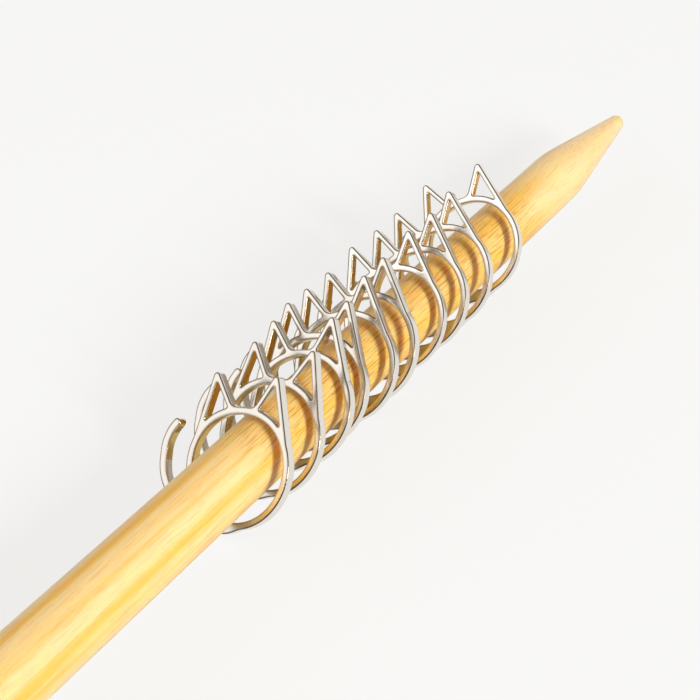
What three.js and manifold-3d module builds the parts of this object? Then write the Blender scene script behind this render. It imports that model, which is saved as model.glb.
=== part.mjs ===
// Ten cast cat-outline stitch markers threaded on a bamboo knitting needle.
//
// Millimetres, +Z up. The needle lies level along X with its tip at +X, and the markers stand round it
// near the tip, leaning back towards it. The origin is under the middle of the set, on the table.

import * as THREE from 'three';
import { mergeVertices } from 'three/addons/utils/BufferGeometryUtils.js';
import Module from 'manifold-3d';

// Driving dimensions

// Needle: an 8 mm bamboo rod with a long taper to a small rounded tip
const NEEDLE_DIAMETER = 8;
const NEEDLE_LENGTH = 250; // from the stopper's end face to the tip
const TAPER_LENGTH = 24;
const TAPER_EASE = 4; // length over which the shaft bends over into the taper
const TIP_RADIUS = 1.25;

// Stopper: a turned knob glued on a thin spigot at the needle's other end
const STOPPER_LENGTH = 14;
const STOPPER_FACE_DIAMETER = 8.6;
const STOPPER_NECK_DIAMETER = 9.4;
const SPIGOT_DIAMETER = 5;
const SPIGOT_LENGTH = 9;
const GLUE_GAP = 0.3; // all round the spigot, at its end and at the needle's shoulder

// Marker: one flat casting, a closed ring with two open ears and a tail
const RING_PLAY = 4.5; // how much wider the ring's bore is than the needle
const RING_BAND = 0.85;
const MARKER_THICKNESS = 1.3;
const EAR_SPREAD = 4.1; // ear tip, sideways from the ring's middle
const EAR_RISE = 3.5; // ear tip above the ring's top edge
const EAR_BAR = 0.7;
const EAR_TIP_RADIUS = 0.45;
const EAR_OUTER_FOOT = 25; // degrees round the ring, from its right-hand side
const EAR_INNER_FOOT = 78;
const FOOT_FILLET = 0.8; // how far the ear's inner foot is rounded out along the ear and the ring
const TAIL_WIDTH = 1.0;
const TAIL_ROOT_WIDTH = 0.7;
const TAIL_WIDENING = 1 / 3; // share of the tail's length over which it reaches its full width

// Middle line of the tail, as degrees round the ring and distance outside its band's middle
const TAIL_ROUTE = [
    [-62, 0], [-80, 0.05], [-100, 0.7], [-130, 1.9], [-150, 2.75],
    [-170, 3.65], [-187, 3.9], [-198, 3.8], [-206, 3.45],
];

// Where each marker stands: along the needle from the first one, aside of its axis to the left, and in
// degrees the lean of its face, its turn about the upright and its roll about its own middle
const FIRST_MARKER_TO_TIP = 104;
const MARKER_PLACES = [
    { along: 0, aside: 0.35, lean: 35.5, turn: -7.5, roll: 19.5 },
    { along: 6.8, aside: 0.6, lean: 34, turn: -7, roll: 14.5 },
    { along: 13.1, aside: 0.65, lean: 36.5, turn: -7, roll: 24.5 },
    { along: 17.1, aside: 1.15, lean: 35, turn: -4, roll: 21.5 },
    { along: 22.7, aside: 0.45, lean: 35.5, turn: -4, roll: 31 },
    { along: 27.4, aside: 0.15, lean: 33.5, turn: -7, roll: 34 },
    { along: 35.1, aside: 0.8, lean: 35.5, turn: -0.5, roll: 32 },
    { along: 40.5, aside: 0.35, lean: 34, turn: -4.5, roll: 35 },
    { along: 46.9, aside: 0.3, lean: 33.5, turn: -4, roll: 39 },
    { along: 56, aside: 0.75, lean: 33.5, turn: -1, roll: 37.5 },
];

// Fineness of the round shapes
const NEEDLE_SIDES = 32;
const RING_SIDES = 48;
const TAIL_STEPS = 18;
const CAP_STEPS = 5;
const FILLET_STEPS = 3;
const STOPPER_STEPS = 6; // from either end of the stopper to its belly
const SAME_POINT = 1e-4; // points closer than this are one

// Sizes that follow from them
const needleRadius = NEEDLE_DIAMETER / 2;
const spigotRadius = SPIGOT_DIAMETER / 2;
const boreRadius = (NEEDLE_DIAMETER + RING_PLAY) / 2;
const ringRadius = boreRadius + RING_BAND;
const bandRadius = boreRadius + RING_BAND / 2;

const metal = new THREE.MeshStandardMaterial({ color: 0xd8d4cc, roughness: 0.25, metalness: 1 });
const bamboo = new THREE.MeshStandardMaterial({ color: 0xf0c97e, roughness: 0.45, metalness: 0 });

const wasm = await Module();
wasm.setup();

// A closed geometry as a solid that can be cut and joined
function solidFrom(geometry) {
    geometry.deleteAttribute('normal');
    geometry.deleteAttribute('uv');
    const merged = mergeVertices(geometry, SAME_POINT);
    return new wasm.Manifold(new wasm.Mesh({
        numProp: 3,
        vertProperties: new Float32Array(merged.attributes.position.array),
        triVerts: new Uint32Array(merged.index.array),
    }));
}

function geometryFrom(solid) {
    const mesh = solid.getMesh();
    const geometry = new THREE.BufferGeometry();
    geometry.setAttribute('position', new THREE.BufferAttribute(mesh.vertProperties, 3));
    geometry.setIndex(new THREE.BufferAttribute(mesh.triVerts, 1));
    geometry.computeVertexNormals();
    return geometry;
}

// A turned piece: its profile holds [distance along the needle, radius] and starts and ends on the axis
function turned(profile) {
    const points = profile.map(([along, radius]) => new THREE.Vector2(radius, along));
    return new THREE.LatheGeometry(points, NEEDLE_SIDES).rotateZ(-Math.PI / 2);
}

// A flat piece of the casting, as thick as the marker, its middle in the ring's plane
function flatSolid(shape, curveSegments) {
    const geometry = new THREE.ExtrudeGeometry(shape, {
        depth: MARKER_THICKNESS,
        bevelEnabled: false,
        curveSegments,
    });
    return solidFrom(geometry.translate(0, 0, -MARKER_THICKNESS / 2));
}

function aroundRing(degrees, radius) {
    const angle = THREE.MathUtils.degToRad(degrees);
    return new THREE.Vector2(radius * Math.cos(angle), radius * Math.sin(angle));
}

// Needle: spigot, shoulder, shaft, taper and tip. Its axis is the X axis, and the stopper's end face is
// at x = 0.
function needleGeometry() {
    const shoulder = STOPPER_LENGTH + GLUE_GAP;
    const spigotEnd = shoulder - SPIGOT_LENGTH;
    const taperStart = NEEDLE_LENGTH - TAPER_LENGTH;
    const tipCentre = NEEDLE_LENGTH - TIP_RADIUS;
    const slope = (needleRadius - TIP_RADIUS) / (tipCentre - taperStart - TAPER_EASE / 2);
    const profile = [
        [spigotEnd, 0], [spigotEnd, spigotRadius], [shoulder, spigotRadius], [shoulder, needleRadius],
        [taperStart, needleRadius],
        [taperStart + TAPER_EASE / 2, needleRadius - slope * TAPER_EASE / 8],
        [taperStart + TAPER_EASE, needleRadius - slope * TAPER_EASE / 2],
    ];
    const capStart = Math.atan(slope);
    for (let i = 0; i <= CAP_STEPS; i++) {
        const angle = THREE.MathUtils.lerp(Math.PI / 2 - capStart, 0, i / CAP_STEPS);
        profile.push([tipCentre + TIP_RADIUS * Math.cos(angle), TIP_RADIUS * Math.sin(angle)]);
    }
    return turned(profile);
}

// Stopper: flat end face, full belly as wide as the needle stands high, neck, and a blind socket
function stopperGeometry(bellyRadius) {
    const faceRadius = STOPPER_FACE_DIAMETER / 2;
    const neckRadius = STOPPER_NECK_DIAMETER / 2;
    const socketRadius = spigotRadius + GLUE_GAP;
    const socketEnd = STOPPER_LENGTH - SPIGOT_LENGTH;
    const middle = STOPPER_LENGTH / 2;
    const profile = [[0, 0]];
    for (let i = 0; i <= STOPPER_STEPS; i++) {
        const angle = i / STOPPER_STEPS * Math.PI / 2;
        const radius = THREE.MathUtils.lerp(faceRadius, bellyRadius, Math.sin(angle));
        profile.push([middle * (1 - Math.cos(angle)), radius]);
    }
    for (let i = STOPPER_STEPS - 1; i >= 0; i--) {
        const angle = i / STOPPER_STEPS * Math.PI / 2;
        const radius = THREE.MathUtils.lerp(neckRadius, bellyRadius, Math.sin(angle));
        profile.push([STOPPER_LENGTH - middle * (1 - Math.cos(angle)), radius]);
    }
    profile.push([STOPPER_LENGTH, socketRadius], [socketEnd, socketRadius], [socketEnd, 0]);
    return turned(profile);
}

// Ring: closed band round the needle
function ringSolid() {
    const band = new THREE.Shape().absarc(0, 0, ringRadius, 0, 2 * Math.PI);
    band.holes.push(new THREE.Path().absarc(0, 0, boreRadius, 0, 2 * Math.PI));
    return flatSolid(band, RING_SIDES / 2); // a full circle takes two sides for each curve segment
}

// Where a straight line from a point touches a circle. side is 1 to pass it on the right, -1 on the left.
function tangentPoint(from, centre, radius, side) {
    const distance = from.distanceTo(centre);
    const swing = side * Math.asin(radius / distance);
    const length = Math.sqrt(distance * distance - radius * radius);
    const direction = centre.clone().sub(from).normalize().rotateAround(new THREE.Vector2(), -swing);
    return from.clone().addScaledVector(direction, length);
}

// Ear: two bars that meet in a rounded tip. side is 1 for the right ear and -1 for the left.
function earSolid(side) {
    const tipCentre = new THREE.Vector2(EAR_SPREAD, ringRadius + EAR_RISE - EAR_TIP_RADIUS);
    const outerFoot = aroundRing(EAR_OUTER_FOOT, ringRadius);
    const innerFoot = aroundRing(EAR_INNER_FOOT, ringRadius);
    const outerTouch = tangentPoint(outerFoot, tipCentre, EAR_TIP_RADIUS, 1);
    const innerTouch = tangentPoint(innerFoot, tipCentre, EAR_TIP_RADIUS, -1);
    const outline = [aroundRing(EAR_OUTER_FOOT, bandRadius), outerFoot];
    const startAngle = outerTouch.clone().sub(tipCentre).angle();
    const endAngle = innerTouch.clone().sub(tipCentre).angle();
    for (let i = 0; i <= CAP_STEPS; i++) {
        const angle = THREE.MathUtils.lerp(startAngle, endAngle, i / CAP_STEPS);
        outline.push(new THREE.Vector2(Math.cos(angle), Math.sin(angle))
            .multiplyScalar(EAR_TIP_RADIUS).add(tipCentre));
    }
    const outerSide = outerTouch.clone().sub(outerFoot).normalize();
    const innerSide = innerTouch.clone().sub(innerFoot).normalize();
    const filletEnd = EAR_INNER_FOOT + THREE.MathUtils.radToDeg(FOOT_FILLET / ringRadius);
    const fillet = new THREE.QuadraticBezierCurve(
        innerFoot.clone().addScaledVector(innerSide, FOOT_FILLET),
        innerFoot,
        aroundRing(filletEnd, ringRadius));
    outline.push(...fillet.getPoints(FILLET_STEPS));
    outline.push(aroundRing(filletEnd, bandRadius), aroundRing(EAR_INNER_FOOT, bandRadius));

    // The opening runs parallel to both bars and ends at the ring's band
    const halfAngle = Math.acos(outerSide.dot(innerSide)) / 2;
    const middle = outerSide.clone().add(innerSide).normalize();
    const top = tipCentre.clone()
        .addScaledVector(middle, -(EAR_BAR - EAR_TIP_RADIUS) / Math.sin(halfAngle));
    const opening = [
        top,
        top.clone().addScaledVector(innerSide, -ringRadius),
        top.clone().addScaledVector(outerSide, -ringRadius),
    ];

    const mirrored = (points) => new THREE.Shape(points.map(({ x, y }) => new THREE.Vector2(side * x, y)));
    const cutter = flatSolid(mirrored(opening), 1).scale([1, 1, 2]);
    return flatSolid(mirrored(outline), 1).subtract(cutter);
}

// Tail: a band that leaves the ring's underside, swings out to the left and curls up to a round end
function tailSolid() {
    const middleLine = new THREE.SplineCurve(
        TAIL_ROUTE.map(([degrees, out]) => aroundRing(degrees, bandRadius + out)));
    const outer = [];
    const inner = [];
    for (let i = 0; i <= TAIL_STEPS; i++) {
        const t = i / TAIL_STEPS;
        const point = middleLine.getPointAt(t);
        const along = middleLine.getTangentAt(t);
        const across = new THREE.Vector2(along.y, -along.x);
        const widen = Math.min(1, t / TAIL_WIDENING);
        const half = THREE.MathUtils.lerp(TAIL_ROOT_WIDTH, TAIL_WIDTH, widen) / 2;
        inner.push(point.clone().addScaledVector(across, half));
        outer.push(point.clone().addScaledVector(across, -half));
    }
    const end = middleLine.getPointAt(1);
    const tangent = middleLine.getTangentAt(1);
    const cap = [];
    for (let i = 1; i < CAP_STEPS; i++) {
        const spoke = new THREE.Vector2(-tangent.y, tangent.x).multiplyScalar(TAIL_WIDTH / 2);
        cap.push(end.clone().add(spoke.rotateAround(new THREE.Vector2(), -Math.PI * i / CAP_STEPS)));
    }
    return flatSolid(new THREE.Shape([...outer, ...cap, ...inner.reverse()]), 1);
}

const markerGeometry = geometryFrom(
    ringSolid().add(earSolid(1)).add(earSolid(-1)).add(tailSolid()));

// A marker's own x is its right-hand side, y runs up through the ears and z out of its face. Standing
// upright on the needle it faces away from the tip.
const facing = new THREE.Quaternion().setFromRotationMatrix(new THREE.Matrix4().makeBasis(
    new THREE.Vector3(0, -1, 0), new THREE.Vector3(0, 0, 1), new THREE.Vector3(-1, 0, 0)));

function attitude({ lean, turn, roll }) {
    const about = (x, y, z, degrees) => new THREE.Quaternion().setFromAxisAngle(
        new THREE.Vector3(x, y, z), THREE.MathUtils.degToRad(degrees));
    return about(0, 0, 1, turn)
        .multiply(about(0, 1, 0, lean))
        .multiply(facing)
        .multiply(about(0, 0, 1, roll));
}

// How far the marker's lowest point lies below its middle
function reach(quaternion) {
    const position = markerGeometry.attributes.position;
    const point = new THREE.Vector3();
    let low = 0;
    for (let i = 0; i < position.count; i++) {
        point.fromBufferAttribute(position, i).applyQuaternion(quaternion);
        low = Math.min(low, point.z);
    }
    return -low;
}

// Every marker stands on the table on its tail, and the needle lies at the height that suits them all
const reaches = MARKER_PLACES.map((place) => reach(attitude(place)));
const axisHeight = (Math.min(...reaches) + Math.max(...reaches)) / 2;

const set = new THREE.Group();

const needle = new THREE.Mesh(needleGeometry(), bamboo);
needle.name = 'needle';
needle.position.z = axisHeight;
set.add(needle);

const stopper = new THREE.Mesh(stopperGeometry(axisHeight), bamboo);
stopper.name = 'stopper';
stopper.position.z = axisHeight;
set.add(stopper);

MARKER_PLACES.forEach((place, i) => {
    const marker = new THREE.Mesh(markerGeometry, metal);
    marker.name = `marker_${String(i + 1).padStart(2, '0')}`;
    marker.position.set(NEEDLE_LENGTH - FIRST_MARKER_TO_TIP + place.along, place.aside, reaches[i]);
    marker.quaternion.copy(attitude(place));
    set.add(marker);
});

// The origin goes under the middle of the set
const box = new THREE.Box3().setFromObject(set, true);
set.position.set(-(box.min.x + box.max.x) / 2, -(box.min.y + box.max.y) / 2, -box.min.z);

export default set;
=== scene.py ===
"""Ten cast metal stitch markers threaded on a bamboo knitting needle, lying on a white table."""

import math

import bmesh
import bpy
from mathutils import Matrix, Vector


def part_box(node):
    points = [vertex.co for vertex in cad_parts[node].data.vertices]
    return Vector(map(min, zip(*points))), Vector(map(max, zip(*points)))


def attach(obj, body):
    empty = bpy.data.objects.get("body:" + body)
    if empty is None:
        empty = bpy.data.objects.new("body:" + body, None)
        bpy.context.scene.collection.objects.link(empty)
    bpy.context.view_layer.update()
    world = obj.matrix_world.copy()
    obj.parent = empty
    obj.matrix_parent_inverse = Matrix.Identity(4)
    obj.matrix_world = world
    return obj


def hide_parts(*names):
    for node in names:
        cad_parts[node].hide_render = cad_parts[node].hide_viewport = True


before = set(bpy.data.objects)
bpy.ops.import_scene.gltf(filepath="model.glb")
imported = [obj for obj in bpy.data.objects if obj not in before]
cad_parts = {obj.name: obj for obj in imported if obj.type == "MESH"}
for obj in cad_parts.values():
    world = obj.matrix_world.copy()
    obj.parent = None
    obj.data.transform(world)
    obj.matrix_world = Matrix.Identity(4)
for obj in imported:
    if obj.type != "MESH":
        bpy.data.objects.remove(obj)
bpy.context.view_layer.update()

MM = 0.001


# Needle
# A straight single-pointed needle, turned from one bamboo rod, sanded and waxed. Its thin spigot is
# glued into the stopper, and its other end runs down a long taper to a small rounded tip.

needle_low, needle_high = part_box("needle")
stopper_low, stopper_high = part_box("stopper")
needle_radius = (needle_high[2] - needle_low[2]) / 2
needle_axis_y = (needle_low[1] + needle_high[1]) / 2
needle_axis_z = (needle_low[2] + needle_high[2]) / 2
needle_tip_x = needle_high[0]

TAPER_LENGTH = 24 * MM
TAPER_EASE = 4 * MM
TIP_RADIUS = 1.25 * MM
SHOULDER_GAP = 0.3 * MM
SHOULDER_CHAMFER = 0.2 * MM
SPIGOT_RADIUS = 2.5 * MM
NEEDLE_SIDES = 128
EASE_STEPS = 8
TIP_STEPS = 10
SAME_POINT = 1e-7
SHARP_ANGLE = 40


def turned_piece(name, profile, sides):
    """A lathe-turned piece: its profile is (place along the needle, radius) from one end to the other."""
    turning = bmesh.new()
    points = [turning.verts.new((x, needle_axis_y, needle_axis_z + radius)) for x, radius in profile]
    edges = [turning.edges.new(pair) for pair in zip(points, points[1:])]
    bmesh.ops.spin(
        turning,
        geom=points + edges,
        cent=(0, needle_axis_y, needle_axis_z),
        axis=(1, 0, 0),
        angle=2 * math.pi,
        steps=sides,
        use_merge=True,
    )
    bmesh.ops.remove_doubles(turning, verts=turning.verts, dist=SAME_POINT)
    bmesh.ops.recalc_face_normals(turning, faces=turning.faces)
    for face in turning.faces:
        face.smooth = True
    mesh = bpy.data.meshes.new(name)
    turning.to_mesh(mesh)
    turning.free()
    mesh.set_sharp_from_angle(angle=math.radians(SHARP_ANGLE))
    piece = bpy.data.objects.new(name, mesh)
    bpy.context.collection.objects.link(piece)
    return piece


shoulder_x = stopper_high[0] + SHOULDER_GAP
taper_x = needle_tip_x - TAPER_LENGTH
tip_centre_x = needle_tip_x - TIP_RADIUS
taper_slope = (needle_radius - TIP_RADIUS) / (tip_centre_x - taper_x - TAPER_EASE / 2)
needle_profile = [
    (needle_low[0], 0),
    (needle_low[0], SPIGOT_RADIUS),
    (shoulder_x, SPIGOT_RADIUS),
    (shoulder_x, needle_radius - SHOULDER_CHAMFER),
    (shoulder_x + SHOULDER_CHAMFER, needle_radius),
]
for step in range(EASE_STEPS + 1):
    along = step / EASE_STEPS * TAPER_EASE
    needle_profile.append((taper_x + along, needle_radius - taper_slope * along ** 2 / TAPER_EASE / 2))
for step in range(TIP_STEPS + 1):
    angle = (math.pi / 2 - math.atan(taper_slope)) * (1 - step / TIP_STEPS)
    needle_profile.append((tip_centre_x + TIP_RADIUS * math.cos(angle), TIP_RADIUS * math.sin(angle)))
needle = turned_piece("needle_rod", needle_profile, NEEDLE_SIDES)

# Bamboo finish: pale straw ground, long golden fibre bundles and fine brown vessel lines along the rod,
# under a thin wax polish. Along the markers' stretch the gold and the lines are painted stronger, a
# painted shade where the rings shadow the rod, and the tip is painted palest, a painted light
BAMBOO_PALE = (0.94, 0.75, 0.44, 1)
BAMBOO_GOLD = (0.90, 0.56, 0.12, 1)
BAMBOO_TAN = (0.84, 0.50, 0.10, 1)
BAMBOO_LINE = (0.46, 0.20, 0.01, 1)
SCATTER = (1.0, 0.2, 0.05)
SCATTER_DEPTH = 2 * MM
WAX_SHINE = 0.18
WAX_COAT = 0.04
WAX_COAT_ROUGHNESS = 0.3
WAX_ROUGHNESS = (0.34, 0.5)
FIBRE_SHEEN = 0.35
FIBRE_SHEEN_ROUGHNESS = 0.3
GRAIN_ROUGHNESS = 0.6
GRAIN_RELIEF = 0.3
GRAIN_DEPTH = 0.03 * MM
STAIN_SHARE = 0.7
# Where the markers stand, the rod carries painted shade: more gold and more brown lines
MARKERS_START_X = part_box("marker_01")[0][0]
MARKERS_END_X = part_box("marker_10")[1][0]
MARKERS_SHADE_EASE = 10 * MM
WAXED_LINES = 0.15
PAINTED_SHADE_LINES = 0.6
PAINTED_SHADE_GOLD = 0.55
TIP_EASE = 6 * MM
TIP_LINES = 0.3
# The tip is painted paler, as painted light
TIP_LIGHT_GAP = 4 * MM
TIP_LIGHT_EASE = 10 * MM
TIP_PAINTED_LIGHT = 0.8


def bamboo_finish(name, pale, gold):
    """Waxed bamboo with its grain along the needle, from a pale and a golden tone."""
    material = bpy.data.materials.new(name)
    material.use_nodes = True
    nodes, links = material.node_tree.nodes, material.node_tree.links
    shader = nodes["Principled BSDF"]
    shader.inputs["Specular IOR Level"].default_value = WAX_SHINE
    shader.inputs["Coat Weight"].default_value = WAX_COAT
    shader.inputs["Coat Roughness"].default_value = WAX_COAT_ROUGHNESS
    shader.inputs["Sheen Weight"].default_value = FIBRE_SHEEN
    shader.inputs["Sheen Roughness"].default_value = FIBRE_SHEEN_ROUGHNESS
    shader.inputs["Subsurface Radius"].default_value = SCATTER
    shader.inputs["Subsurface Scale"].default_value = SCATTER_DEPTH
    place = nodes.new("ShaderNodeTexCoord")
    split = nodes.new("ShaderNodeSeparateXYZ")
    links.new(place.outputs["Object"], split.inputs["Vector"])
    along_rod = split.outputs["X"]

    def streaks(across, along, detail):
        """Noise drawn out along the rod: its grain per metre across the rod and along it."""
        stretch = nodes.new("ShaderNodeMapping")
        stretch.inputs["Scale"].default_value = (along, across, across)
        noise = nodes.new("ShaderNodeTexNoise")
        noise.inputs["Scale"].default_value = 1
        noise.inputs["Detail"].default_value = detail
        noise.inputs["Roughness"].default_value = GRAIN_ROUGHNESS
        links.new(place.outputs["Object"], stretch.inputs["Vector"])
        links.new(stretch.outputs["Vector"], noise.inputs["Vector"])
        return noise.outputs["Fac"]

    def spread(source, start, end, low=0.0, high=1.0):
        """A value that goes from low to high while its source goes from start to end."""
        band = nodes.new("ShaderNodeMapRange")
        band.inputs["From Min"].default_value = start
        band.inputs["From Max"].default_value = end
        band.inputs["To Min"].default_value = low
        band.inputs["To Max"].default_value = high
        links.new(source, band.inputs["Value"])
        return band.outputs["Result"]

    def product(first, second):
        times = nodes.new("ShaderNodeMath")
        times.operation = "MULTIPLY"
        links.new(first, times.inputs[0])
        links.new(second, times.inputs[1])
        return times.outputs["Value"]

    def blend(factor, first, second):
        mix = nodes.new("ShaderNodeMix")
        mix.data_type = "RGBA"
        links.new(factor, mix.inputs["Factor"])
        for socket, value in ((mix.inputs["A"], first), (mix.inputs["B"], second)):
            if isinstance(value, tuple):
                socket.default_value = value
            else:
                links.new(value, socket)
        return mix.outputs["Result"]

    bundles = spread(streaks(across=460, along=8, detail=2), start=0.42, end=0.66)
    stains = spread(streaks(across=260, along=5, detail=1), start=0.50, end=0.70, high=STAIN_SHARE)
    fibres = spread(streaks(across=5200, along=260, detail=2), start=0.525, end=0.62)
    glow = spread(streaks(across=3400, along=280, detail=1), start=0.40, end=0.56)
    # Painted light: the rod is painted paler towards its tip
    tip_light_start = MARKERS_END_X + TIP_LIGHT_GAP
    tip_painted_light = spread(along_rod, tip_light_start, tip_light_start + TIP_LIGHT_EASE, high=TIP_PAINTED_LIGHT)
    # Painted shade: more brown lines and more gold along the markers' stretch, where the rings shadow the
    # rod
    lines_and_painted_shade = product(
        spread(along_rod, MARKERS_START_X, MARKERS_START_X + MARKERS_SHADE_EASE, WAXED_LINES, PAINTED_SHADE_LINES),
        spread(along_rod, MARKERS_END_X, MARKERS_END_X + TIP_EASE, 1, TIP_LINES))
    ground = blend(stains, blend(bundles, pale, gold), BAMBOO_TAN)
    ground = blend(tip_painted_light, ground, pale)
    ground = blend(spread(lines_and_painted_shade, start=0.2, end=PAINTED_SHADE_LINES, high=PAINTED_SHADE_GOLD), ground, gold)
    links.new(blend(product(fibres, lines_and_painted_shade), ground, BAMBOO_LINE), shader.inputs["Base Color"])
    links.new(spread(bundles, 0, 1, *WAX_ROUGHNESS), shader.inputs["Roughness"])
    links.new(glow, shader.inputs["Subsurface Weight"])

    relief = nodes.new("ShaderNodeBump")
    relief.inputs["Strength"].default_value = GRAIN_RELIEF
    relief.inputs["Distance"].default_value = GRAIN_DEPTH
    relief.invert = True
    links.new(fibres, relief.inputs["Height"])
    links.new(relief.outputs["Normal"], shader.inputs["Normal"])
    return material


needle.data.materials.append(bamboo_finish("waxed_bamboo", BAMBOO_PALE, BAMBOO_GOLD))
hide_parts("needle")
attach(needle, "needle_body")


# Stopper
# A small turned bamboo knob with a flat end, glued on the needle's spigot. It keeps markers and stitches
# on the needle, and its belly is as wide as the needle stands high.

STOPPER_FACE_RADIUS = 4.3 * MM
STOPPER_NECK_RADIUS = 4.7 * MM
SOCKET_RADIUS = SPIGOT_RADIUS + SHOULDER_GAP
SOCKET_DEPTH = 9 * MM
STOPPER_STEPS = 20
KNOB_PALE = (0.88, 0.63, 0.33, 1)
KNOB_GOLD = (0.80, 0.47, 0.15, 1)

stopper_middle = (stopper_low[0] + stopper_high[0]) / 2
half_stopper = stopper_high[0] - stopper_middle
belly_radius = (stopper_high[2] - stopper_low[2]) / 2
stopper_profile = [(stopper_low[0], 0)]
for step in range(STOPPER_STEPS + 1):
    angle = step / STOPPER_STEPS * math.pi / 2
    radius = STOPPER_FACE_RADIUS + (belly_radius - STOPPER_FACE_RADIUS) * math.sin(angle)
    stopper_profile.append((stopper_middle - half_stopper * math.cos(angle), radius))
for step in range(STOPPER_STEPS - 1, -1, -1):
    angle = step / STOPPER_STEPS * math.pi / 2
    radius = STOPPER_NECK_RADIUS + (belly_radius - STOPPER_NECK_RADIUS) * math.sin(angle)
    stopper_profile.append((stopper_middle + half_stopper * math.cos(angle), radius))
stopper_profile += [
    (stopper_high[0], SOCKET_RADIUS),
    (stopper_high[0] - SOCKET_DEPTH, SOCKET_RADIUS),
    (stopper_high[0] - SOCKET_DEPTH, 0),
]
stopper = turned_piece("stopper_knob", stopper_profile, NEEDLE_SIDES)
stopper.data.materials.append(bamboo_finish("turned_bamboo", KNOB_PALE, KNOB_GOLD))
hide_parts("stopper")
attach(stopper, "needle_body")


# Markers
# Each marker is one zinc casting, tumbled until its edges are soft and then bright nickel plated: a flat
# ring with two open ears and a tail. The shape is made flat once, in millimetres, with the ring's middle
# at the origin and the face towards +Z, and then stood on the needle ten times.

BORE_RADIUS = 6.25
RING_BAND = 0.85
BROW_DROP = 0.22
BROW_SPAN = 50
THICKNESS = 1.3
EAR_SPREAD = 4.1
EAR_RISE = 3.5
EAR_BAR = 0.7
EAR_TIP_RADIUS = 0.45
EAR_OUTER_FOOT = 25
EAR_INNER_FOOT = 78
FOOT_FILLET = 0.8
TAIL_WIDTH = 1.0
TAIL_ROOT_WIDTH = 0.7
TAIL_WIDENING = 3
TAIL_ROUTE = (
    (-62, 0), (-80, 0.05), (-100, 0.7), (-130, 1.9), (-150, 2.75),
    (-170, 3.65), (-187, 3.9), (-198, 3.8), (-206, 3.45),
)
RING_STEPS = 180
TAIL_STEPS = 60
ROUND_STEPS = 12
SAME_CORNER = 1e-5
VOXEL = 0.075
SMOOTHING = 0.5
SOFTENING = 8
EDGE_SOFTENING = 10

ring_radius = BORE_RADIUS + RING_BAND
band_radius = BORE_RADIUS + RING_BAND / 2


def around_ring(degrees, radius):
    """A point of the ring, which is drawn in a little at the brow between the ears."""
    off_brow = min(abs(degrees - 90), BROW_SPAN) / BROW_SPAN
    angle = math.radians(degrees)
    drawn = radius - BROW_DROP * math.cos(off_brow * math.pi / 2) ** 2
    return Vector((drawn * math.cos(angle), drawn * math.sin(angle), 0))


def add_bar(casting, left_line, right_line):
    """A flat bar of the casting's thickness between two lines of points."""
    sides = []
    for line in (left_line, right_line):
        points = [casting.verts.new((point.x, point.y, -THICKNESS / 2)) for point in line]
        sides += [casting.edges.new(pair) for pair in zip(points, points[1:])]
    strip = bmesh.ops.bridge_loops(casting, edges=sides)["faces"]
    raised = bmesh.ops.extrude_face_region(casting, geom=strip, use_keep_orig=True)
    top = [item for item in raised["geom"] if isinstance(item, bmesh.types.BMVert)]
    bmesh.ops.translate(casting, verts=top, vec=(0, 0, THICKNESS))


def tangent_point(start, centre, radius, side):
    """Where a straight line from a point touches a circle, passing it on its right (1) or left (-1)."""
    reach = centre - start
    swing = side * math.asin(radius / reach.length)
    direction = Matrix.Rotation(-swing, 3, "Z") @ reach.normalized()
    return start + direction * math.sqrt(reach.length ** 2 - radius ** 2)


def down_to_band(start, direction):
    """Where a line from a point outside the ring meets the middle of its band."""
    middle = -start.dot(direction)
    return start + direction * (middle - math.sqrt(middle ** 2 - start.length ** 2 + band_radius ** 2))


def rounded(start, corner, end):
    """A soft corner between two lines."""
    shares = [i / ROUND_STEPS for i in range(ROUND_STEPS + 1)]
    return [start * (1 - t) ** 2 + corner * 2 * t * (1 - t) + end * t ** 2 for t in shares]


def add_ear(casting, side):
    """Two bars that meet in a rounded tip, standing on the ring. Its inner foot flows into the brow."""
    tip = Vector((EAR_SPREAD, ring_radius + EAR_RISE - EAR_TIP_RADIUS, 0))
    outer_foot = around_ring(EAR_OUTER_FOOT, ring_radius)
    inner_foot = around_ring(EAR_INNER_FOOT, ring_radius)
    outer_touch = tangent_point(outer_foot, tip, EAR_TIP_RADIUS, 1)
    inner_touch = tangent_point(inner_foot, tip, EAR_TIP_RADIUS, -1)
    outer_side = (outer_touch - outer_foot).normalized()
    inner_side = (inner_touch - inner_foot).normalized()
    half_angle = outer_side.angle(inner_side) / 2
    hollow_drop = (EAR_BAR - EAR_TIP_RADIUS) / math.sin(half_angle)
    hollow_top = tip - (outer_side + inner_side).normalized() * hollow_drop
    start = math.atan2(outer_touch.y - tip.y, outer_touch.x - tip.x)
    end = math.atan2(inner_touch.y - tip.y, inner_touch.x - tip.x)
    turns = [start + (end - start) * i / ROUND_STEPS for i in range(ROUND_STEPS + 1)]
    crown = [tip + Vector((math.cos(turn), math.sin(turn), 0)) * EAR_TIP_RADIUS for turn in turns]
    on_brow = around_ring(EAR_INNER_FOOT + math.degrees(FOOT_FILLET / ring_radius), ring_radius)
    foot = rounded(inner_foot + inner_side * FOOT_FILLET, inner_foot, on_brow)
    root = around_ring(EAR_INNER_FOOT + math.degrees(FOOT_FILLET / ring_radius), band_radius)
    outside = [around_ring(EAR_OUTER_FOOT, band_radius), outer_foot, *crown, *foot, root]
    outer_hollow = down_to_band(hollow_top, -outer_side)
    inner_hollow = down_to_band(hollow_top, -inner_side)
    inside = [outer_hollow] * 2 + [hollow_top] * len(crown) + [inner_hollow] * (len(foot) + 1)
    mirror = Matrix.Diagonal((side, 1, 1))
    add_bar(casting, [mirror @ p for p in outside], [mirror @ p for p in inside])


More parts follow.
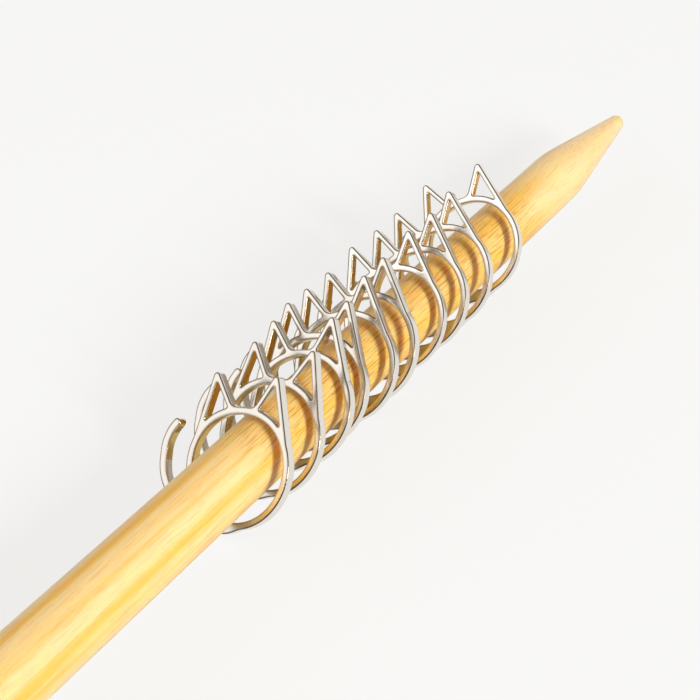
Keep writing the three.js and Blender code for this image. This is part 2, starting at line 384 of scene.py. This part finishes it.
def add_tail(casting):
    """A band that leaves the ring's underside, swings out to the left and curls up to a round end."""
    knots = [around_ring(degrees, band_radius + out) for degrees, out in TAIL_ROUTE]
    knots = [2 * knots[0] - knots[1]] + knots + [2 * knots[-1] - knots[-2]]
    line = []
    for i in range(TAIL_STEPS + 1):
        place = i / TAIL_STEPS * (len(TAIL_ROUTE) - 1)
        span = min(int(place), len(TAIL_ROUTE) - 2)
        t = place - span
        a, b, c, d = knots[span : span + 4]
        bend = 2 * a - 5 * b + 4 * c - d
        twist = 3 * b - a - 3 * c + d
        line.append((2 * b + (c - a) * t + bend * t ** 2 + twist * t ** 3) / 2)
    outside, inside = [], []
    for i, point in enumerate(line):
        along = (line[min(i + 1, TAIL_STEPS)] - line[max(i - 1, 0)]).normalized()
        across = Vector((along.y, -along.x, 0))
        widening = min(1, TAIL_WIDENING * i / TAIL_STEPS)
        half = (TAIL_ROOT_WIDTH + (TAIL_WIDTH - TAIL_ROOT_WIDTH) * widening) / 2
        inside.append(point + across * half)
        outside.append(point - across * half)
    for i in range(1, ROUND_STEPS):
        angle = math.pi / 2 * i / ROUND_STEPS
        forward = line[-1] + along * (TAIL_WIDTH / 2 * math.sin(angle))
        inside.append(forward + across * (TAIL_WIDTH / 2 * math.cos(angle)))
        outside.append(forward - across * (TAIL_WIDTH / 2 * math.cos(angle)))
    add_bar(casting, outside, inside)


casting = bmesh.new()
angles = [360 * i / RING_STEPS for i in range(RING_STEPS + 1)]
bore = [around_ring(angle, BORE_RADIUS) for angle in angles]
rim = [around_ring(angle, ring_radius) for angle in angles]
add_bar(casting, bore, rim)
add_ear(casting, 1)
add_ear(casting, -1)
add_tail(casting)
bmesh.ops.remove_doubles(casting, verts=casting.verts, dist=SAME_CORNER)
bmesh.ops.recalc_face_normals(casting, faces=casting.faces)
pattern_mesh = bpy.data.meshes.new("marker_pattern")
casting.to_mesh(pattern_mesh)
casting.free()
pattern = bpy.data.objects.new("marker_pattern", pattern_mesh)
bpy.context.collection.objects.link(pattern)
fuse = pattern.modifiers.new("fuse", "REMESH")
fuse.mode = "VOXEL"
fuse.voxel_size = VOXEL
fused = pattern.evaluated_get(bpy.context.evaluated_depsgraph_get())
fused_mesh = bpy.data.meshes.new_from_object(fused)
bpy.data.objects.remove(pattern)


def soften(casting, rounds):
    """Tumbling rounds every edge of the casting a little more."""
    for _ in range(rounds):
        bmesh.ops.smooth_vert(
            casting,
            verts=casting.verts,
            factor=SMOOTHING,
            use_axis_x=True,
            use_axis_y=True,
            use_axis_z=True,
        )


def clamped(value):
    return max(0, min(1, value))


# How far each point lies on an edge, and how far on a wall that faces the ring's middle, is read from a
# softer copy of the shape: the plate is painted darker there, a painted dark reflection along the edges
# and a painted brown reflection of the needle on those walls. Edges round the bore and the tail's open
# wall count for less
EDGE_GAIN = 20
WALL_GAIN = 4
EDGE_LIMIT = 1.6
WALL_LIMIT = 3
INWARD_GAIN = 3
BORE_EDGE_LOSS = 0.65
TAIL_WALL_SHARE = 0.15

casting = bmesh.new()
casting.from_mesh(fused_mesh)
soften(casting, SOFTENING)
shape = [vert.co.copy() for vert in casting.verts]
soften(casting, EDGE_SOFTENING)
casting.normal_update()
painted_edge_layer = casting.verts.layers.float.new("edge")
painted_reflection_layer = casting.verts.layers.float.new("hollow")
for vert in casting.verts:
    facing = abs(vert.normal.z)
    outward = Vector(vert.normal.xy).dot(Vector(vert.co.xy).normalized())
    inward = clamped(-INWARD_GAIN * outward)
    on_edge = clamped(EDGE_GAIN * (1 - facing)) * clamped(WALL_GAIN * facing - EDGE_LIMIT)
    on_wall = clamped(WALL_LIMIT - WALL_GAIN * facing)
    on_tail = vert.co.y < 0 and vert.co.length > ring_radius
    # Weights for painted reflections: a dark line along the edges, and the needle's brown on the inward
    # walls
    vert[painted_edge_layer] = on_edge * (1 - BORE_EDGE_LOSS * inward)
    vert[painted_reflection_layer] = on_wall * inward * (TAIL_WALL_SHARE if on_tail else 1)
for vert, place in zip(casting.verts, shape):
    vert.co = place
for face in casting.faces:
    face.smooth = True
casting.to_mesh(fused_mesh)
casting.free()

# Plated finish: bright nickel, a little warm, faintly uneven as cast, with a painted dark reflection line
# along the soft edges, and a painted brown reflection of the needle on the walls that face the ring's
# middle
PLATE = (0.81, 0.775, 0.715, 1)
PAINTED_EDGE_REFLECTION = (0.13, 0.10, 0.075, 1)
PAINTED_NEEDLE_REFLECTION = (0.62, 0.43, 0.15, 1)
PLATE_ROUGHNESS = (0.15, 0.28)
CAST_GRAIN = 700
CAST_DETAIL = 3
CAST_RELIEF = 0.1
CAST_DEPTH = 0.03 * MM

plate = bpy.data.materials.new("bright_nickel")
plate.use_nodes = True
nodes, links = plate.node_tree.nodes, plate.node_tree.links
shader = nodes["Principled BSDF"]
shader.inputs["Metallic"].default_value = 1
place = nodes.new("ShaderNodeTexCoord")
uneven = nodes.new("ShaderNodeTexNoise")
uneven.inputs["Scale"].default_value = CAST_GRAIN
uneven.inputs["Detail"].default_value = CAST_DETAIL
links.new(place.outputs["Object"], uneven.inputs["Vector"])
tone = None
# Painted reflections in the plate's colour: dark along the edges, brown on the walls that face the ring's
# middle
for layer, painted_reflection_tone in (("hollow", PAINTED_NEEDLE_REFLECTION), ("edge", PAINTED_EDGE_REFLECTION)):
    painted_reflection_mask = nodes.new("ShaderNodeAttribute")
    painted_reflection_mask.attribute_name = layer
    tint = nodes.new("ShaderNodeMix")
    tint.data_type = "RGBA"
    tint.inputs["A"].default_value = PLATE
    tint.inputs["B"].default_value = painted_reflection_tone
    links.new(painted_reflection_mask.outputs["Fac"], tint.inputs["Factor"])
    if tone is not None:
        links.new(tone, tint.inputs["A"])
    tone = tint.outputs["Result"]
links.new(tone, shader.inputs["Base Color"])
gloss = nodes.new("ShaderNodeMapRange")
gloss.inputs["To Min"].default_value = PLATE_ROUGHNESS[0]
gloss.inputs["To Max"].default_value = PLATE_ROUGHNESS[1]
links.new(uneven.outputs["Fac"], gloss.inputs["Value"])
links.new(gloss.outputs["Result"], shader.inputs["Roughness"])
ripple = nodes.new("ShaderNodeBump")
ripple.inputs["Strength"].default_value = CAST_RELIEF
ripple.inputs["Distance"].default_value = CAST_DEPTH
links.new(uneven.outputs["Fac"], ripple.inputs["Height"])
links.new(ripple.outputs["Normal"], shader.inputs["Normal"])

# How each marker stands, from the needle's bare shaft to its tip: the lean of its face, its turn about
# the upright and its roll about its own middle, in degrees. FACING stands the flat shape upright, with its
# face towards the stopper
MARKER_ATTITUDES = (
    (35.5, -7.5, 19.5), (34, -7, 14.5), (36.5, -7, 24.5), (35, -4, 21.5), (35.5, -4, 31),
    (33.5, -7, 34), (35.5, -0.5, 32), (34, -4.5, 35), (33.5, -4, 39), (33.5, -1, 37.5),
)
FACING = Matrix(((0, 0, -1), (-1, 0, 0), (0, 1, 0)))

for number, (lean, turn, roll) in enumerate(MARKER_ATTITUDES, 1):
    node = f"marker_{number:02d}"
    attitude = (
        Matrix.Rotation(math.radians(turn), 3, "Z")
        @ Matrix.Rotation(math.radians(lean), 3, "Y")
        @ FACING
        @ Matrix.Rotation(math.radians(roll), 3, "Z")
    )
    marker_mesh = fused_mesh.copy()
    marker_mesh.transform((attitude * MM).to_4x4())
    corners = [vertex.co for vertex in marker_mesh.vertices]
    node_low, node_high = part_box(node)
    shift = Vector()
    for axis in range(3):
        along_axis = [corner[axis] for corner in corners]
        shift[axis] = (node_low[axis] + node_high[axis] - min(along_axis) - max(along_axis)) / 2
    marker_mesh.transform(Matrix.Translation(shift))
    marker_mesh.materials.append(plate)
    marker = bpy.data.objects.new(f"cat_ring_{number:02d}", marker_mesh)
    bpy.context.collection.objects.link(marker)
    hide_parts(node)
    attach(marker, f"{node}_body")


# Table, light and camera
# The set lies on a plain white table between two windows, and the table fades into the white room. The
# camera looks down along the needle from the stopper's side.

TABLE_WHITE = (0.79, 0.86, 1.0, 1)
TABLE_MATT = 0.9
TABLE_SHINE = 0.1
TABLE_GLOW = 0.74
TABLE_BOUNCE = 0.5
TABLE_SIZE = 3.6
FADE_START = 0.4
FADE_END = 1.6


def seen_straight_or_mirrored(nodes, links):
    """1 for what the camera sees, also in the metal, and 0 for what only lights other surfaces."""
    ray = nodes.new("ShaderNodeLightPath")
    seen = ray.outputs["Is Camera Ray"]
    for other in ("Is Glossy Ray", "Is Transmission Ray"):
        either = nodes.new("ShaderNodeMath")
        either.operation = "MAXIMUM"
        links.new(seen, either.inputs[0])
        links.new(ray.outputs[other], either.inputs[1])
        seen = either.outputs["Value"]
    return seen


bpy.ops.mesh.primitive_plane_add(size=TABLE_SIZE)
table = bpy.context.object
table.name = "table"
top = bpy.data.materials.new("white_table")
top.use_nodes = True
nodes, links = top.node_tree.nodes, top.node_tree.links
shader = nodes["Principled BSDF"]
shader.inputs["Roughness"].default_value = TABLE_MATT
shader.inputs["Specular IOR Level"].default_value = TABLE_SHINE
distance = nodes.new("ShaderNodeVectorMath")
distance.operation = "LENGTH"
links.new(nodes.new("ShaderNodeTexCoord").outputs["Object"], distance.inputs[0])
fade = nodes.new("ShaderNodeMapRange")
fade.inputs["From Min"].default_value = FADE_START
fade.inputs["From Max"].default_value = FADE_END
fade.inputs["To Min"].default_value = TABLE_GLOW
links.new(distance.outputs["Value"], fade.inputs["Value"])
share = nodes.new("ShaderNodeMath")
share.operation = "MULTIPLY"
links.new(seen_straight_or_mirrored(nodes, links), share.inputs[0])
links.new(fade.outputs["Result"], share.inputs[1])
glow = nodes.new("ShaderNodeEmission")
both = nodes.new("ShaderNodeMixShader")
bounce = nodes.new("ShaderNodeMix")
bounce.data_type = "RGBA"
bounce.blend_type = "MULTIPLY"
bounce.inputs["A"].default_value = TABLE_WHITE
bounce.inputs["B"].default_value = (TABLE_BOUNCE, TABLE_BOUNCE, TABLE_BOUNCE, 1)
links.new(nodes.new("ShaderNodeLightPath").outputs["Is Diffuse Ray"], bounce.inputs["Factor"])
links.new(bounce.outputs["Result"], shader.inputs["Base Color"])
links.new(share.outputs["Value"], both.inputs["Fac"])
links.new(shader.outputs["BSDF"], both.inputs[1])
links.new(glow.outputs["Emission"], both.inputs[2])
links.new(both.outputs["Shader"], nodes["Material Output"].inputs["Surface"])
table.data.materials.append(top)

# The studio's dim walls, open past the needle's tip, and its ceiling. Only the plating's reflections
# show them
WALL_DISTANCE = 2.9
WALL_HEIGHT = 1.9
WALL_START = 90
WALL_TURN = 210
WALL_STEPS = 48
CEILING_HEIGHT = 2.2
CEILING_REACH = 2.6
CEILING_SIDES = 64
STUDIO_GREY = (0.10, 0.095, 0.09, 1)
CEILING_GREY = (0.65, 0.64, 0.63, 1)
STUDIO_MATT = 0.9

studio = bmesh.new()
start = Matrix.Rotation(math.radians(WALL_START), 3, "Z") @ Vector((WALL_DISTANCE, 0, 0))
upright = [studio.verts.new(start), studio.verts.new(start + Vector((0, 0, WALL_HEIGHT)))]
bmesh.ops.spin(
    studio,
    geom=upright + [studio.edges.new(upright)],
    cent=(0, 0, 0),
    axis=(0, 0, 1),
    angle=math.radians(WALL_TURN),
    steps=WALL_STEPS,
)
ceiling = bmesh.ops.create_circle(studio, segments=CEILING_SIDES, radius=CEILING_REACH, cap_ends=True)
bmesh.ops.translate(studio, verts=ceiling["verts"], vec=(0, 0, CEILING_HEIGHT))
for face in studio.faces:
    face.material_index = 1 if len(face.verts) == CEILING_SIDES else 0
studio_mesh = bpy.data.meshes.new("studio")
studio.to_mesh(studio_mesh)
studio.free()
studio_room = bpy.data.objects.new("studio", studio_mesh)
bpy.context.collection.objects.link(studio_room)
for name, grey in (("studio_wall", STUDIO_GREY), ("studio_ceiling", CEILING_GREY)):
    paint = bpy.data.materials.new(name)
    paint.use_nodes = True
    shader = paint.node_tree.nodes["Principled BSDF"]
    shader.inputs["Base Color"].default_value = grey
    shader.inputs["Roughness"].default_value = STUDIO_MATT
    studio_mesh.materials.append(paint)
studio_room.visible_camera = False
studio_room.visible_diffuse = False
studio_room.visible_shadow = False

ROOM_LIGHT = 0.27
ROOM_COLOUR = (1.0, 0.74, 0.28, 1)

world = bpy.data.worlds.new("white_room")
bpy.context.scene.world = world
world.use_nodes = True
nodes, links = world.node_tree.nodes, world.node_tree.links
seen = seen_straight_or_mirrored(nodes, links)
level = nodes.new("ShaderNodeMapRange")
level.inputs["To Min"].default_value = ROOM_LIGHT
links.new(seen, level.inputs["Value"])
links.new(level.outputs["Result"], nodes["Background"].inputs["Strength"])
colour = nodes.new("ShaderNodeMix")
colour.data_type = "RGBA"
colour.inputs["A"].default_value = ROOM_COLOUR
colour.inputs["B"].default_value = (1, 1, 1, 1)
links.new(seen, colour.inputs["Factor"])
links.new(colour.outputs["Result"], nodes["Background"].inputs["Color"])

# A small window to the right of the needle, and a wide one behind the camera's left shoulder: name, place,
# width and height in metres, power in watts and colour
LIT_SPOT = (0.04, 0, 0)
WINDOWS = (
    ("right_window", (-0.38, -1.52, 0.74), 0.52, 0.52, 33.0, (1.0, 0.94, 0.82)),
    ("left_window", (-1.10, 1.40, 1.06), 6.40, 2.30, 53.0, (0.985, 0.96, 0.94)),
)
for name, spot, width, height, power, colour in WINDOWS:
    light = bpy.data.lights.new(name, "AREA")
    light.shape = "RECTANGLE"
    light.size = width
    light.size_y = height
    light.energy = power
    light.color = colour
    lamp = bpy.data.objects.new(name, light)
    lamp.location = spot
    aim = Vector(LIT_SPOT) - Vector(spot)
    lamp.rotation_euler = aim.to_track_quat("-Z", "Y").to_euler()
    bpy.context.collection.objects.link(lamp)

CAMERA_PLACE = (-83.94 * MM, -81.17 * MM, 116.5 * MM)
CAMERA_HEADING = 31.698
CAMERA_PITCH = 35.271
CAMERA_ROLL = 1.023
FOCAL_PIXELS = 1500
FRAME_PIXELS = 700
SENSOR_WIDTH = 36
NEAREST_SEEN = 5 * MM

camera_data = bpy.data.cameras.new("camera")
camera_data.sensor_width = SENSOR_WIDTH
camera_data.lens = SENSOR_WIDTH * FOCAL_PIXELS / FRAME_PIXELS
camera_data.clip_start = NEAREST_SEEN
camera = bpy.data.objects.new("camera", camera_data)
camera.matrix_world = (
    Matrix.Translation(CAMERA_PLACE)
    @ Matrix.Rotation(math.radians(CAMERA_HEADING - 90), 4, "Z")
    @ Matrix.Rotation(math.radians(90 - CAMERA_PITCH), 4, "X")
    @ Matrix.Rotation(math.radians(CAMERA_ROLL), 4, "Z")
)
bpy.context.collection.objects.link(camera)
bpy.context.scene.camera = camera
bpy.context.scene.view_settings.view_transform = "Standard"
